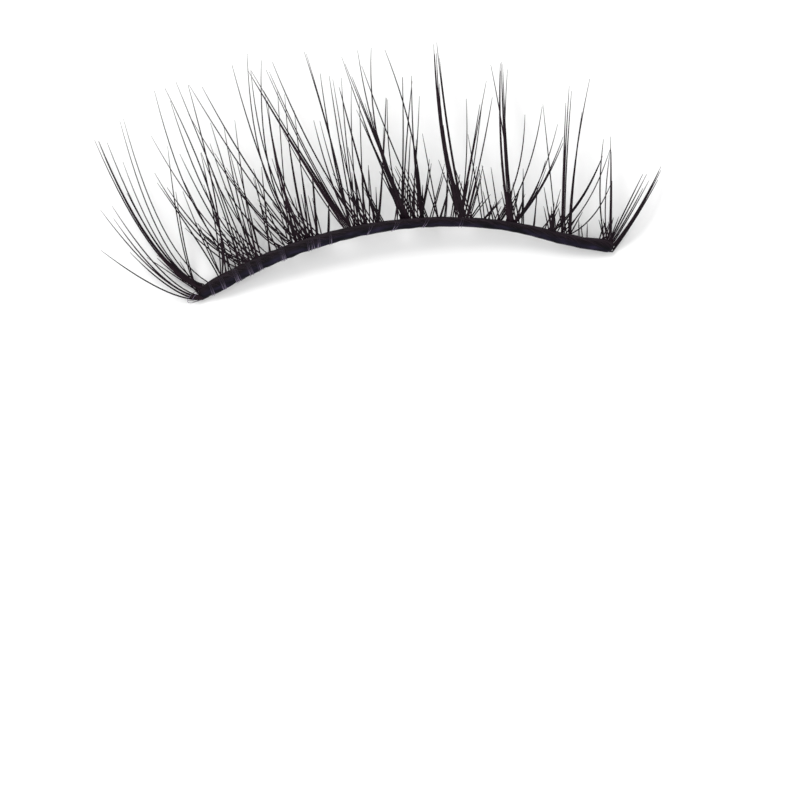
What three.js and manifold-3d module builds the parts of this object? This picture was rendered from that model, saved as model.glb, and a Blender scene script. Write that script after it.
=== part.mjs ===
// A false eyelash strip for one upper lid, lying outer face up on a table.
// A black cotton band, arched in two directions, carries thirteen knotted tufts of curled hair.
// Each tuft is a thin glued root bar with flat tapering locks fused to it. The band's two ends
// and the tips of the longest locks touch the table, and the rest of the strip arches over it.
import * as THREE from "three";
import { mergeVertices } from "three/addons/utils/BufferGeometryUtils.js";
import Module from "manifold-3d";

// Driving dimensions, in millimetres.
const BAND_CHORD = 30.9; // straight line from the first lash root to the last one
const BAND_RISE = 3.5; // bulge of the band's arc above that line, seen from above
const BAND_HEIGHT = 0.7; // glue edge to lash edge, where the band is narrowest
const BAND_THICKNESS = 0.55; // back to outer face
const BAND_LIFT = 2.0; // how high the middle of the band stands off the table
const BAND_SAG = 0.36; // how far the glue edge strays inside its true arc where it strays most
const OUTER_OVERHANG = 0.3; // band past the first root, at the outer corner of the eye
const INNER_OVERHANG = 0.1; // band past the last root, at the inner corner
const LONGEST_LASH = 15.0; // the unit in which every lock's reach is given
const CURL_RISE = 3.0; // how far the curl lifts the lashes above the line from root to tip
const HAIR_PITCH = 0.075; // width that each hair adds to a lock
const LOCK_THICKNESS = 0.12; // height of a lock's section at its root
const LAYER_GAP = 0.08; // clear height between tufts that cross
const ROOT_HEIGHT = 0.34; // the glued root bar of a tuft, measured away from the band
const ROOT_MARGIN = 0.16; // root bar past the outermost locks of its tuft
const ROOT_GAP = 0.05; // clearance between a root bar and the band

// Shares and counts.
const BAND_FLAT = 0.6; // part of each side of the band's section that is flat between its corners
const END_CURL = 0.35; // curl rise at the two ends of the band, as a share of CURL_RISE
const TIP_SHARE = 0.22; // a lock's section at its tip, as a share of its root's
const BAND_STEPS = 31; // odd, so that the middle stretch of the band is level
const LONG_LOCK_STEPS = 9; // steps along a lock of full length
const SHORT_LOCK_STEPS = 3;
const LAYERS = 3;
const STAGGER = 0.06; // how far neighbouring locks of a tuft differ in height, of LOCK_THICKNESS

// Sections of the band along its length: its height as a share of BAND_HEIGHT, and how far the
// glue edge lies inside the true arc as a share of BAND_SAG.
const BAND_SECTIONS = [
  { at: -0.01, height: 0.7, sag: 0.6 },
  { at: 0.02, height: 1.45, sag: 0.6 },
  { at: 0.05, height: 1.6, sag: 0.6 },
  { at: 0.12, height: 1.4, sag: 0.35 },
  { at: 0.3, height: 1.25, sag: 0.2 },
  { at: 0.5, height: 1.0, sag: 0.0 },
  { at: 0.66, height: 1.0, sag: 0.2 },
  { at: 0.75, height: 1.0, sag: 0.4 },
  { at: 0.87, height: 1.1, sag: 1.0 },
  { at: 0.93, height: 1.05, sag: 0.7 },
  { at: 0.985, height: 1.4, sag: 0.2 },
  { at: 1.0, height: 1.1, sag: 0.0 },
];

// Along the band: plan distance at which the curl comes down to the table, of LONGEST_LASH, and
// the share of its reach at which a lock that starts there turns most.
const CURL_SECTIONS = [
  { at: 0.0, reach: 0.97, turn: 0.25 },
  { at: 0.3, reach: 1.0, turn: 0.35 },
  { at: 0.6, reach: 0.9, turn: 0.45 },
  { at: 0.86, reach: 0.77, turn: 0.4 },
  { at: 1.0, reach: 0.47, turn: 0.4 },
];

// The tufts from the outer corner of the eye to the inner one, and each tuft's locks.
// at: place of the root along the band, from 0 at the outer end to 1 at the inner end.
// lean: degrees from the line square to the band's chord, towards the inner end.
// reach: straight length from root to tip in plan, as a share of LONGEST_LASH.
// bow: sideways bulge of the lock towards the inner end, as a share of its reach.
// hairs: hairs that lie side by side in the lock, which set its width.
const TUFTS = [
  {
    name: "tuft_01_outer_corner",
    locks: [
      { at: 0.007, lean: -29, reach: 0.91, bow: -0.08, hairs: 4 },
      { at: 0.01, lean: -26, reach: 0.78, bow: -0.07, hairs: 2 },
      { at: 0.01, lean: -20, reach: 0.93, bow: -0.08, hairs: 2 },
      { at: 0.01, lean: -7, reach: 0.72, bow: -0.04, hairs: 2 },
      { at: 0.024, lean: -22, reach: 0.92, bow: -0.06, hairs: 2 },
    ],
  },
  {
    name: "tuft_02_outer_fan",
    locks: [
      { at: 0.055, lean: -27, reach: 0.56, bow: 0.0, hairs: 2 },
      { at: 0.06, lean: -11, reach: 0.98, bow: 0.07, hairs: 3 },
      { at: 0.062, lean: -4, reach: 0.97, bow: 0.03, hairs: 2 },
      { at: 0.108, lean: -20, reach: 0.98, bow: -0.07, hairs: 2 },
      { at: 0.12, lean: -39, reach: 0.64, bow: -0.1, hairs: 2 },
      { at: 0.132, lean: -10, reach: 0.71, bow: 0.0, hairs: 2 },
      { at: 0.134, lean: -32, reach: 0.8, bow: -0.05, hairs: 2 },
      { at: 0.137, lean: -21, reach: 0.9, bow: -0.06, hairs: 2 },
      { at: 0.15, lean: -4, reach: 0.7, bow: -0.02, hairs: 3 },
    ],
  },
  {
    name: "tuft_03_second_fan",
    locks: [
      { at: 0.23, lean: -32, reach: 0.83, bow: -0.05, hairs: 2 },
      { at: 0.24, lean: -3, reach: 0.94, bow: -0.07, hairs: 3 },
      { at: 0.24, lean: 0, reach: 0.62, bow: -0.02, hairs: 2 },
      { at: 0.25, lean: -29, reach: 0.93, bow: -0.04, hairs: 3 },
      { at: 0.26, lean: -15, reach: 0.95, bow: 0.0, hairs: 2 },
      { at: 0.26, lean: -10, reach: 0.98, bow: -0.08, hairs: 2 },
      { at: 0.27, lean: -28, reach: 0.91, bow: -0.05, hairs: 3 },
      { at: 0.28, lean: -14, reach: 0.87, bow: -0.09, hairs: 2 },
      { at: 0.29, lean: -3, reach: 0.47, bow: 0.0, hairs: 2 },
      { at: 0.3, lean: 3, reach: 0.33, bow: 0.0, hairs: 2 },
      { at: 0.32, lean: 10, reach: 0.17, bow: 0.0, hairs: 2 },
    ],
  },
  {
    name: "tuft_04_long_spike",
    locks: [
      { at: 0.37, lean: -25, reach: 0.95, bow: -0.01, hairs: 5 },
      { at: 0.37, lean: -7, reach: 0.83, bow: 0.03, hairs: 3 },
      { at: 0.38, lean: -22, reach: 0.86, bow: -0.02, hairs: 3 },
      { at: 0.38, lean: -2, reach: 0.7, bow: 0.01, hairs: 3 },
      { at: 0.39, lean: 1, reach: 0.75, bow: -0.02, hairs: 2 },
      { at: 0.4, lean: 3, reach: 0.68, bow: -0.03, hairs: 2 },
      { at: 0.44, lean: -9, reach: 0.71, bow: -0.01, hairs: 2 },
    ],
  },
  {
    name: "tuft_05_single",
    locks: [
      { at: 0.44, lean: 9, reach: 0.58, bow: 0.01, hairs: 2 },
      { at: 0.445, lean: 12, reach: 0.61, bow: 0.01, hairs: 2 },
    ],
  },
  {
    name: "tuft_06_middle_spike",
    locks: [
      { at: 0.49, lean: -14, reach: 0.82, bow: 0.0, hairs: 2 },
      { at: 0.5, lean: -15, reach: 0.77, bow: 0.02, hairs: 5 },
      { at: 0.5, lean: -10, reach: 0.81, bow: -0.02, hairs: 2 },
      { at: 0.5, lean: -6, reach: 0.86, bow: -0.06, hairs: 2 },
      { at: 0.5, lean: 8, reach: 0.67, bow: 0.0, hairs: 3 },
      { at: 0.52, lean: 11, reach: 0.58, bow: 0.01, hairs: 2 },
      { at: 0.54, lean: -6, reach: 0.87, bow: 0.04, hairs: 2 },
      { at: 0.54, lean: 2, reach: 0.7, bow: 0.01, hairs: 2 },
      { at: 0.55, lean: -16, reach: 0.83, bow: -0.01, hairs: 2 },
    ],
  },
  {
    name: "tuft_07_short_fork",
    locks: [
      { at: 0.54, lean: 20, reach: 0.27, bow: 0.0, hairs: 2 },
      { at: 0.57, lean: 21, reach: 0.24, bow: 0.0, hairs: 2 },
      { at: 0.575, lean: -2, reach: 0.4, bow: 0.0, hairs: 2 },
      { at: 0.59, lean: 23, reach: 0.15, bow: 0.0, hairs: 2 },
    ],
  },
  {
    name: "tuft_08_tall_spike",
    locks: [
      { at: 0.635, lean: 9, reach: 0.59, bow: 0.02, hairs: 2 },
      { at: 0.637, lean: -3, reach: 0.82, bow: -0.03, hairs: 5 },
      { at: 0.637, lean: 17, reach: 0.65, bow: 0.02, hairs: 2 },
      { at: 0.64, lean: -2, reach: 0.83, bow: -0.01, hairs: 3 },
      { at: 0.645, lean: 20, reach: 0.57, bow: 0.03, hairs: 2 },
    ],
  },
  {
    name: "tuft_09_crossed",
    locks: [
      { at: 0.69, lean: -3, reach: 0.43, bow: 0.0, hairs: 2 },
      { at: 0.692, lean: 47, reach: 0.17, bow: 0.0, hairs: 2 },
      { at: 0.722, lean: 21, reach: 0.55, bow: 0.07, hairs: 2 },
      { at: 0.727, lean: -6, reach: 0.25, bow: 0.0, hairs: 2 },
      { at: 0.732, lean: 26, reach: 0.61, bow: 0.08, hairs: 2 },
    ],
  },
  {
    name: "tuft_10_inner_spike",
    locks: [
      { at: 0.754, lean: -1, reach: 0.77, bow: 0.03, hairs: 2 },
      { at: 0.754, lean: 3, reach: 0.8, bow: -0.01, hairs: 4 },
      { at: 0.76, lean: 30, reach: 0.54, bow: 0.05, hairs: 2 },
      { at: 0.763, lean: 37, reach: 0.48, bow: 0.05, hairs: 2 },
      { at: 0.765, lean: 35, reach: 0.35, bow: 0.07, hairs: 3 },
    ],
  },
  {
    name: "tuft_11_inner_fork",
    locks: [
      { at: 0.81, lean: 15, reach: 0.34, bow: 0.02, hairs: 2 },
      { at: 0.845, lean: 20, reach: 0.2, bow: 0.0, hairs: 2 },
      { at: 0.85, lean: 0, reach: 0.22, bow: 0.0, hairs: 2 },
      { at: 0.86, lean: 1, reach: 0.63, bow: 0.0, hairs: 2 },
    ],
  },
  {
    name: "tuft_12_inner_pair",
    locks: [
      { at: 0.86, lean: 40, reach: 0.45, bow: 0.07, hairs: 2 },
      { at: 0.873, lean: 10, reach: 0.7, bow: 0.0, hairs: 4 },
      { at: 0.88, lean: 38, reach: 0.45, bow: 0.1, hairs: 2 },
      { at: 0.89, lean: 13, reach: 0.76, bow: 0.0, hairs: 2 },
      { at: 0.9, lean: 44, reach: 0.33, bow: 0.12, hairs: 2 },
    ],
  },
  {
    name: "tuft_13_inner_corner",
    locks: [
      { at: 0.975, lean: 6, reach: 0.49, bow: -0.03, hairs: 2 },
      { at: 0.99, lean: 8, reach: 0.5, bow: 0.01, hairs: 2 },
      { at: 1.0, lean: 33, reach: 0.36, bow: -0.02, hairs: 2 },
      { at: 1.0, lean: 40, reach: 0.3, bow: 0.02, hairs: 2 },
      { at: 1.0, lean: 41, reach: 0.4, bow: 0.05, hairs: 2 },
      { at: 1.0, lean: 38, reach: 0.46, bow: 0.05, hairs: 3 },
    ],
  },
];

// More locks of the first tuft, fixed to the outer end of the band instead of its lash edge.
// down: place of the root on that end, from 0 at the lash edge to 1 at the glue edge.
const END_LOCKS = [
  { down: 0.9, lean: -57, reach: 0.57, bow: -0.08, hairs: 2 },
  { down: 0.6, lean: -51, reach: 0.4, bow: -0.08, hairs: 2 },
  { down: 0.3, lean: -43, reach: 0.69, bow: -0.08, hairs: 3 },
  { down: 0.1, lean: -39, reach: 0.62, bow: -0.07, hairs: 3 },
];

const wasm = await Module();
wasm.setup();

// The glue edge of the band is one arc in plan. Its chord lies on the X axis.
const arcRadius = (BAND_CHORD ** 2 / 4 + BAND_RISE ** 2) / (2 * BAND_RISE);
const halfAngle = Math.asin(BAND_CHORD / 2 / arcRadius);
const arcLength = 2 * halfAngle * arcRadius;
const arcCentre = new THREE.Vector2(0, BAND_RISE - arcRadius);

const angleAt = (at) => (2 * at - 1) * halfAngle;
const atAngle = (angle) => (angle / halfAngle + 1) / 2;

// Places of the band's two ends, and of the middle line of the end bar beside the outer one.
const bandStart = -OUTER_OVERHANG / arcLength;
const bandEnd = 1 + INNER_OVERHANG / arcLength;
const endPlace = bandStart - (ROOT_GAP + ROOT_HEIGHT / 2) / arcLength;

// Straight-line reading of a table of rows by their at column.
function readTable(rows, column, at) {
  const next = rows.findIndex((row) => row.at >= at);
  if (next === 0) return rows[0][column];
  if (next < 0) return rows[rows.length - 1][column];
  const before = rows[next - 1];
  const after = rows[next];
  const share = (at - before.at) / (after.at - before.at);
  return THREE.MathUtils.lerp(before[column], after[column], share);
}

const bandHeight = (at) => BAND_HEIGHT * readTable(BAND_SECTIONS, "height", at);
const bandSag = (at) => BAND_SAG * readTable(BAND_SECTIONS, "sag", at);
const bandLift = (at) => BAND_LIFT * Math.max(0, 1 - (2 * at - 1) ** 2);

// Plan point a given distance outside the glue edge, square to the band.
function planPoint(at, distance) {
  const angle = angleAt(at);
  const radius = arcRadius - bandSag(at) + distance;
  return new THREE.Vector2(Math.sin(angle), Math.cos(angle)).multiplyScalar(radius).add(arcCentre);
}

// Height of the curled lashes over a plan point, before the layer of a tuft is added.
// It rises from the lash edge of the band and comes down to the table at the curl's reach.
function curlHeight(plan) {
  const arm = plan.clone().sub(arcCentre);
  const at = THREE.MathUtils.clamp(atAngle(Math.atan2(arm.x, arm.y)), 0, 1);
  const edge = planPoint(at, bandHeight(at));
  const reach = LONGEST_LASH * readTable(CURL_SECTIONS, "reach", at);
  const share = Math.min(1, plan.distanceTo(edge) / reach);
  const middle = 1 - (2 * at - 1) ** 2;
  const curl = CURL_RISE * THREE.MathUtils.lerp(END_CURL, 1, middle);
  return bandLift(at) * (1 - share) + 4 * curl * share * (1 - share);
}

// Moves every vertex of a geometry to where place puts it.
function bend(geometry, place) {
  const position = geometry.attributes.position;
  for (let i = 0; i < position.count; i += 1) {
    const moved = place(position.getX(i), position.getY(i), position.getZ(i));
    position.setXYZ(i, moved.x, moved.y, moved.z);
  }
  geometry.deleteAttribute("normal");
  geometry.deleteAttribute("uv");
  return mergeVertices(geometry, 1e-5);
}

// The band: an eight-sided bar with flat faces, bent along the arc and arched off the table.
function makeBand() {
  const bar =new THREE.CylinderGeometry(1, 1, 1, 8, BAND_STEPS, false, Math.PI / 8);
  const corner = (value) => {
    if (Math.abs(value) < 1e-6) return 0;
    return Math.sign(value) * (Math.abs(value) > Math.SQRT1_2 ? 1 : BAND_FLAT);
  };
  return bend(bar, (x, y, z) => {
    const at = THREE.MathUtils.lerp(bandStart, bandEnd, y + 0.5);
    const plan = planPoint(at, (bandHeight(at) * (1 - corner(x))) / 2);
    const height = bandLift(at) + (BAND_THICKNESS * (1 + corner(z))) / 2;
    return new THREE.Vector3(plan.x, plan.y, height);
  });
}

// The root bar of a tuft: a flat strip that follows the lash edge of the band.
function makeRootBar(places, height) {
  const start = Math.min(...places) - ROOT_MARGIN / arcLength;
  const end = Math.max(...places) + ROOT_MARGIN / arcLength;
  const steps = Math.max(1, Math.round(((end - start) * BAND_STEPS) / 2));
  return bend(new THREE.BoxGeometry(1, 1, 1, 1, steps, 1), (x, y, z) => {
    const at = THREE.MathUtils.lerp(start, end, y + 0.5);
    const plan = planPoint(at, bandHeight(at) + ROOT_GAP + ROOT_HEIGHT * (0.5 - x));
    return new THREE.Vector3(plan.x, plan.y, curlHeight(plan) + height + z * LOCK_THICKNESS);
  });
}

// The end bar: a flat strip down the outer end of the band, from the root bar to the glue edge.
function makeEndBar(height) {
  const top = bandHeight(endPlace) + ROOT_GAP + ROOT_HEIGHT / 2;
  return bend(new THREE.BoxGeometry(1, 1, 1), (x, y, z) => {
    const plan = planPoint(endPlace + (x * ROOT_HEIGHT) / arcLength, top * (0.5 + y));
    return new THREE.Vector3(plan.x, plan.y, curlHeight(plan) + height + z * LOCK_THICKNESS);
  });
}

// Where a lock starts: on the middle line of its root bar, or of the end bar.
const barRoot = (lock) => planPoint(lock.at, bandHeight(lock.at) + ROOT_GAP + ROOT_HEIGHT / 2);
const endRoot = (lock) => planPoint(endPlace, bandHeight(endPlace) * (1 - lock.down));

// A lock: a flat four-sided taper that follows a bowed line in plan and the curl in height.
function makeLock(lock, height) {
  const { root } = lock;
  const lean = THREE.MathUtils.degToRad(lock.lean);
  const length = lock.reach * LONGEST_LASH;
  const tip = root.clone().add(new THREE.Vector2(Math.sin(lean), Math.cos(lean)).multiplyScalar(length));
  const aside = new THREE.Vector2(Math.cos(lean), -Math.sin(lean)).multiplyScalar(2 * lock.bow * length);
  const corner = root.clone().lerp(tip, readTable(CURL_SECTIONS, "turn", lock.at)).add(aside);
  const line = new THREE.QuadraticBezierCurve(root, corner, tip);
  const steps = Math.max(SHORT_LOCK_STEPS, Math.round(LONG_LOCK_STEPS * lock.reach));
  const halfWidth = (lock.hairs * HAIR_PITCH) / 2;
  return bend(new THREE.CylinderGeometry(1, 1, 1, 4, steps), (x, y, z) => {
    const along = y + 0.5;
    const taper = THREE.MathUtils.lerp(1, TIP_SHARE, along ** 1.5);
    const forward = line.getTangent(along);
    const right = new THREE.Vector2(forward.y, -forward.x);
    const plan = line.getPoint(along).add(right.multiplyScalar(x * halfWidth * taper));
    const rise = (z * LOCK_THICKNESS * taper) / 2;
    return new THREE.Vector3(plan.x, plan.y, curlHeight(plan) + height + rise);
  });
}

function toSolid(geometry) {
  const vertProperties = new Float32Array(geometry.attributes.position.array);
  const triVerts = new Uint32Array(geometry.index.array);
  return new wasm.Manifold(new wasm.Mesh({ numProp: 3, vertProperties, triVerts }));
}

function toGeometry(solid) {
  const mesh = solid.getMesh();
  const geometry = new THREE.BufferGeometry();
  geometry.setAttribute("position", new THREE.BufferAttribute(new Float32Array(mesh.vertProperties), 3));
  geometry.setIndex(new THREE.BufferAttribute(new Uint32Array(mesh.triVerts), 1));
  geometry.computeVertexNormals();
  return geometry;
}

// A tuft: its locks fused to its root bar. Tufts that follow each other lie in turn in three
// layers, one above the other, so that locks of neighbouring tufts cross without touching.
function makeTuft(tuft, index) {
  const layer = (index + 1) % LAYERS;
  const height = LOCK_THICKNESS / 2 + layer * (LOCK_THICKNESS + LAYER_GAP);
  const stagger = STAGGER * LOCK_THICKNESS;
  const places = tuft.locks.map((lock) => lock.at);
  const rooted = tuft.locks.map((lock) => ({ ...lock, root: barRoot(lock) }));
  let solid;
  if (index === 0) {
    rooted.push(...END_LOCKS.map((lock) => ({ ...lock, at: endPlace, root: endRoot(lock) })));
    solid = toSolid(makeRootBar([endPlace, ...places], height));
    solid = solid.add(toSolid(makeEndBar(height - 2 * stagger)));
  } else {
    solid = toSolid(makeRootBar(places, height));
  }
  rooted.forEach((lock, place) => {
    solid = solid.add(toSolid(makeLock(lock, height + ((place % 3) - 1) * stagger)));
  });
  return toGeometry(solid);
}

const bandFinish = new THREE.MeshStandardMaterial({ color: 0x1b171d, roughness: 0.45, metalness: 0 });
const hairFinish = new THREE.MeshStandardMaterial({ color: 0x120f13, roughness: 0.6, metalness: 0 });

const strip = new THREE.Group();
const band = new THREE.Mesh(makeBand(), bandFinish);
band.name = "band";
strip.add(band);
TUFTS.forEach((tuft, index) => {
  const mesh = new THREE.Mesh(makeTuft(tuft, index), hairFinish.clone());
  mesh.name = tuft.name;
  strip.add(mesh);
});

// The origin is the middle of the strip's box, on the table.
const box = new THREE.Box3().setFromObject(strip);
const middle = box.getCenter(new THREE.Vector3());
strip.position.set(-middle.x, -middle.y, -box.min.z);

export default strip;
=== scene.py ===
# The looks of a false eyelash strip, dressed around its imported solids. Lengths are in metres.
# The strip lies outer face up on a white table: +X runs along the band towards the inner corner
# of the eye, +Y from the band to the lash tips, and +Z up.
import math
import random

import bpy
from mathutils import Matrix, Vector, noise


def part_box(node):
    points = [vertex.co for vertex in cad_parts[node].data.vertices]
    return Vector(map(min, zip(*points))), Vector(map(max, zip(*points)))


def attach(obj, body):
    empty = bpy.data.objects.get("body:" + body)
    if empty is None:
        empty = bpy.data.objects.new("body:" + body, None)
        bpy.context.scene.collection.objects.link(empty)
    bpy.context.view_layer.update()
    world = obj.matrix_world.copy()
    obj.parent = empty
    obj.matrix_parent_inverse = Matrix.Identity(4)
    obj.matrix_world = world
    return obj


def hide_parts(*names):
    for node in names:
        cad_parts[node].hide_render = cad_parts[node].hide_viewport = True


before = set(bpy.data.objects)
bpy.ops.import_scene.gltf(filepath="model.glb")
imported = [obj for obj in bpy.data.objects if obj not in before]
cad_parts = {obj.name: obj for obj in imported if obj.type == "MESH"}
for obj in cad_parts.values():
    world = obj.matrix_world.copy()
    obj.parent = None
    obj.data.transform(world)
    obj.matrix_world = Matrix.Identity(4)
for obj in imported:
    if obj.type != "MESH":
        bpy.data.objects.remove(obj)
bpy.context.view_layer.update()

# The band: black cotton yarns laid side by side and soaked with black latex glue. The glue has
# run to the lower edge and set there as a smooth rim, and the lash edge above it stays fibrous.
# It is arched in two directions: round the eye in plan, and off the table in the middle.
MM = 0.001
BAND_CHORD = 30.9 * MM
BAND_RISE = 3.5 * MM
BAND_HEIGHT = 0.7 * MM
BAND_THICKNESS = 0.55 * MM
BAND_LIFT = 2.0 * MM
BAND_SAG = 0.36 * MM
OUTER_OVERHANG = 0.3 * MM
INNER_OVERHANG = 0.1 * MM
# Columns: at (from 0 at the outer end to 1 at the inner end), height (of BAND_HEIGHT), and sag
# (how far the glue edge strays inside the true arc, of BAND_SAG).
BAND_SECTIONS = [
    (-0.01, 1.3, 0.1),
    (0.02, 1.5, 0.4),
    (0.05, 1.6, 0.6),
    (0.12, 1.5, 0.55),
    (0.3, 1.35, 0.4),
    (0.5, 1.1, 0.2),
    (0.66, 1.05, 0.3),
    (0.75, 1.05, 0.5),
    (0.87, 1.25, 1.3),
    (0.93, 1.25, 1.05),
    (0.985, 1.45, 0.3),
    (1.0, 1.1, 0.0),
]
BAND_RINGS = 620
BAND_SIDES = 36
BAND_ROUNDING = 8  # rings at each end that close the band
END_INSET = 0.35  # how far inside that rounding the last ring stands, in rings
BAND_SQUARENESS = 0.72  # 1 for an oval section, less for one with fuller corners
YARN_RELIEF = 0.03 * MM
YARN_ALONG = 0.55  # how fast the yarns' relief changes in a millimetre along the band
YARN_SLANT = 0.5  # how much they slant on the way
YARN_ACROSS = 5.5  # how fast their relief changes round the band's section
GLUE_LUMPS = 0.05 * MM
LUMPS_ALONG = 1.3  # how fast the lumps follow each other in a millimetre
LUMPS_SHIFT = 7
INNER_LUMPS = 0.35  # share of the lumps' size that is left at the inner end
GLUE_BLEND = 0.45  # half the width over which cotton turns into glue, of half the band's height
GLUE_FILLING = 0.75  # share of the yarns' relief that the glue fills
COTTON_DARK = (0.002, 0.001, 0.002)
COTTON_LIGHT = (0.014, 0.007, 0.012)
COTTON_ROUGHNESS = 0.62
GLUE_DARK = (0.001, 0.001, 0.003)
GLUE_LIGHT = (0.016, 0.012, 0.03)
GLUE_ROUGHNESS = 0.4
GLUE_START = 0.62  # where the glue begins to show, from 0 at the glue edge to 1 at the lash edge
GLUE_WHOLE = 0.3  # where it covers the cotton

arc_radius = (BAND_CHORD**2 / 4 + BAND_RISE**2) / (2 * BAND_RISE)
half_angle = math.asin(BAND_CHORD / 2 / arc_radius)
arc_length = 2 * half_angle * arc_radius
band_start = -OUTER_OVERHANG / arc_length
band_end = 1 + INNER_OVERHANG / arc_length


def read_table(rows, at, column=1):
    """Straight-line reading of a column of rows that start with their place."""
    if at <= rows[0][0]:
        return rows[0][column]
    for before, after in zip(rows, rows[1:]):
        if at <= after[0]:
            share = (at - before[0]) / (after[0] - before[0])
            return before[column] + (after[column] - before[column]) * share
    return rows[-1][column]


def band_height(at):
    return BAND_HEIGHT * read_table(BAND_SECTIONS, at)


def band_sag(at):
    return BAND_SAG * read_table(BAND_SECTIONS, at, 2)


def band_lift(at):
    return BAND_LIFT * max(0.0, 1 - (2 * at - 1) ** 2)


def along_angle(at):
    return (2 * at - 1) * half_angle


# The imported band's box gives the place of the arc's centre in the frame. Its outer end is
# slimmer than the end of the cotton here, and lies further inside the true arc.
PACKED_END_HEIGHT = 0.5 * MM
PACKED_END_SAG = 0.216 * MM
band_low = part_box("band")[0]
packed_radius = arc_radius - PACKED_END_SAG
arc_centre = Vector(
    (
        band_low.x - (packed_radius + PACKED_END_HEIGHT) * math.sin(along_angle(band_start)),
        band_low.y - packed_radius * math.cos(along_angle(band_start)),
    )
)
table_z = band_low.z


def plan_point(at, distance):
    """Point in plan at a distance outside the glue edge, square to the band."""
    angle = along_angle(at)
    radius = arc_radius - band_sag(at) + distance
    return arc_centre + Vector((math.sin(angle), math.cos(angle))) * radius


def band_point(at, across, up):
    """Point on the band: across is measured from the glue edge, up from the band's back."""
    plan = plan_point(at, across)
    return Vector((plan.x, plan.y, table_z + band_lift(at) + up))


def section_point(angle):
    """Point of the band's section, from -1 to 1 each way: glue edge at x = 1, outer face at z = 1."""
    x = math.cos(angle)
    z = math.sin(angle)
    return (
        math.copysign(abs(x) ** BAND_SQUARENESS, x),
        math.copysign(abs(z) ** BAND_SQUARENESS, z),
    )


def mesh_piece(name, vertices, faces, material, smooth=True):
    mesh = bpy.data.meshes.new(name)
    mesh.from_pydata(vertices, [], faces)
    mesh.update()
    mesh.polygons.foreach_set("use_smooth", [smooth] * len(mesh.polygons))
    mesh.materials.append(material)
    piece = bpy.data.objects.new(name, mesh)
    bpy.context.scene.collection.objects.link(piece)
    return piece


def new_material(name, colour, roughness, specular):
    """A material with a Principled BSDF, returned with its node tree and that shader."""
    material = bpy.data.materials.new(name)
    material.use_nodes = True
    shader = material.node_tree.nodes["Principled BSDF"]
    shader.inputs["Base Color"].default_value = (*colour, 1)
    shader.inputs["Roughness"].default_value = roughness
    shader.inputs["Specular IOR Level"].default_value = specular
    return material, material.node_tree, shader


def feed(tree, socket, value):
    """Joins a socket to the one given as its value, or sets it to a plain value."""
    if isinstance(value, bpy.types.NodeSocket):
        tree.links.new(value, socket)
    else:
        socket.default_value = value


def add_node(tree, kind, settings=(), **inputs):
    """A node with its settings, and with inputs given by name as values or as sockets."""
    node = tree.nodes.new(kind)
    for key, value in dict(settings).items():
        setattr(node, key, value)
    for key, value in inputs.items():
        feed(tree, node.inputs[key.replace("_", " ")], value)
    return node


def colour_mix(tree, factor, first, second):
    """The mix of two colours, each given as three numbers or as a socket."""
    mix = add_node(tree, "ShaderNodeMix", {"data_type": "RGBA"})
    tree.links.new(factor, mix.inputs[0])
    for socket, colour in ((mix.inputs[6], first), (mix.inputs[7], second)):
        feed(tree, socket, (*colour, 1) if isinstance(colour, tuple) else colour)
    return mix.outputs[2]


def map_range(tree, value, low, high, to_low=0.0, to_high=1.0):
    node = add_node(tree, "ShaderNodeMapRange", Value=value, From_Min=low, From_Max=high)
    feed(tree, node.inputs["To Min"], to_low)
    feed(tree, node.inputs["To Max"], to_high)
    return node.outputs["Result"]


def stretched_noise(tree, coords, stretch, scale, detail):
    mapping = add_node(tree, "ShaderNodeMapping", Vector=coords, Scale=stretch)
    grain = add_node(
        tree, "ShaderNodeTexNoise", Vector=mapping.outputs["Vector"], Scale=scale, Detail=detail
    )
    return grain.outputs["Fac"]


def make_band_material():
    """Fibrous brown-black cotton above, blue-black glue towards the rim, by the band's own map."""
    material, tree, shader = new_material("black_cotton_and_glue", (0.008, 0.005, 0.008), 0.5, 0.1)
    coords = add_node(tree, "ShaderNodeUVMap", {"uv_map": "band_map"}).outputs["UV"]
    split = add_node(tree, "ShaderNodeSeparateXYZ", Vector=coords)
    glue = map_range(tree, split.outputs["Y"], GLUE_START, GLUE_WHOLE)
    streaks = stretched_noise(tree, coords, (26, 9, 1), 3.0, 4.0)
    patches = stretched_noise(tree, coords, (14, 1.4, 1), 2.0, 2.0)
    cotton = colour_mix(tree, map_range(tree, streaks, 0.4, 0.7), COTTON_DARK, COTTON_LIGHT)
    glued = colour_mix(tree, map_range(tree, patches, 0.4, 0.7), GLUE_DARK, GLUE_LIGHT)
    tree.links.new(colour_mix(tree, glue, cotton, glued), shader.inputs["Base Color"])
    roughness = map_range(tree, glue, 0, 1, COTTON_ROUGHNESS, GLUE_ROUGHNESS)
    tree.links.new(roughness, shader.inputs["Roughness"])
    bump = add_node(tree, "ShaderNodeBump", Height=streaks, Strength=0.5, Distance=YARN_RELIEF)
    tree.links.new(bump.outputs["Normal"], shader.inputs["Normal"])
    return material


def end_rounding(ring):
    """Share of its full size that the band has at a ring, below 1 where it rounds off to its ends."""
    edge = min(ring, BAND_RINGS - ring)
    if edge >= BAND_ROUNDING:
        return 1.0
    return math.sqrt(1 - (1 - (edge + END_INSET) / BAND_ROUNDING) ** 2)


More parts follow.
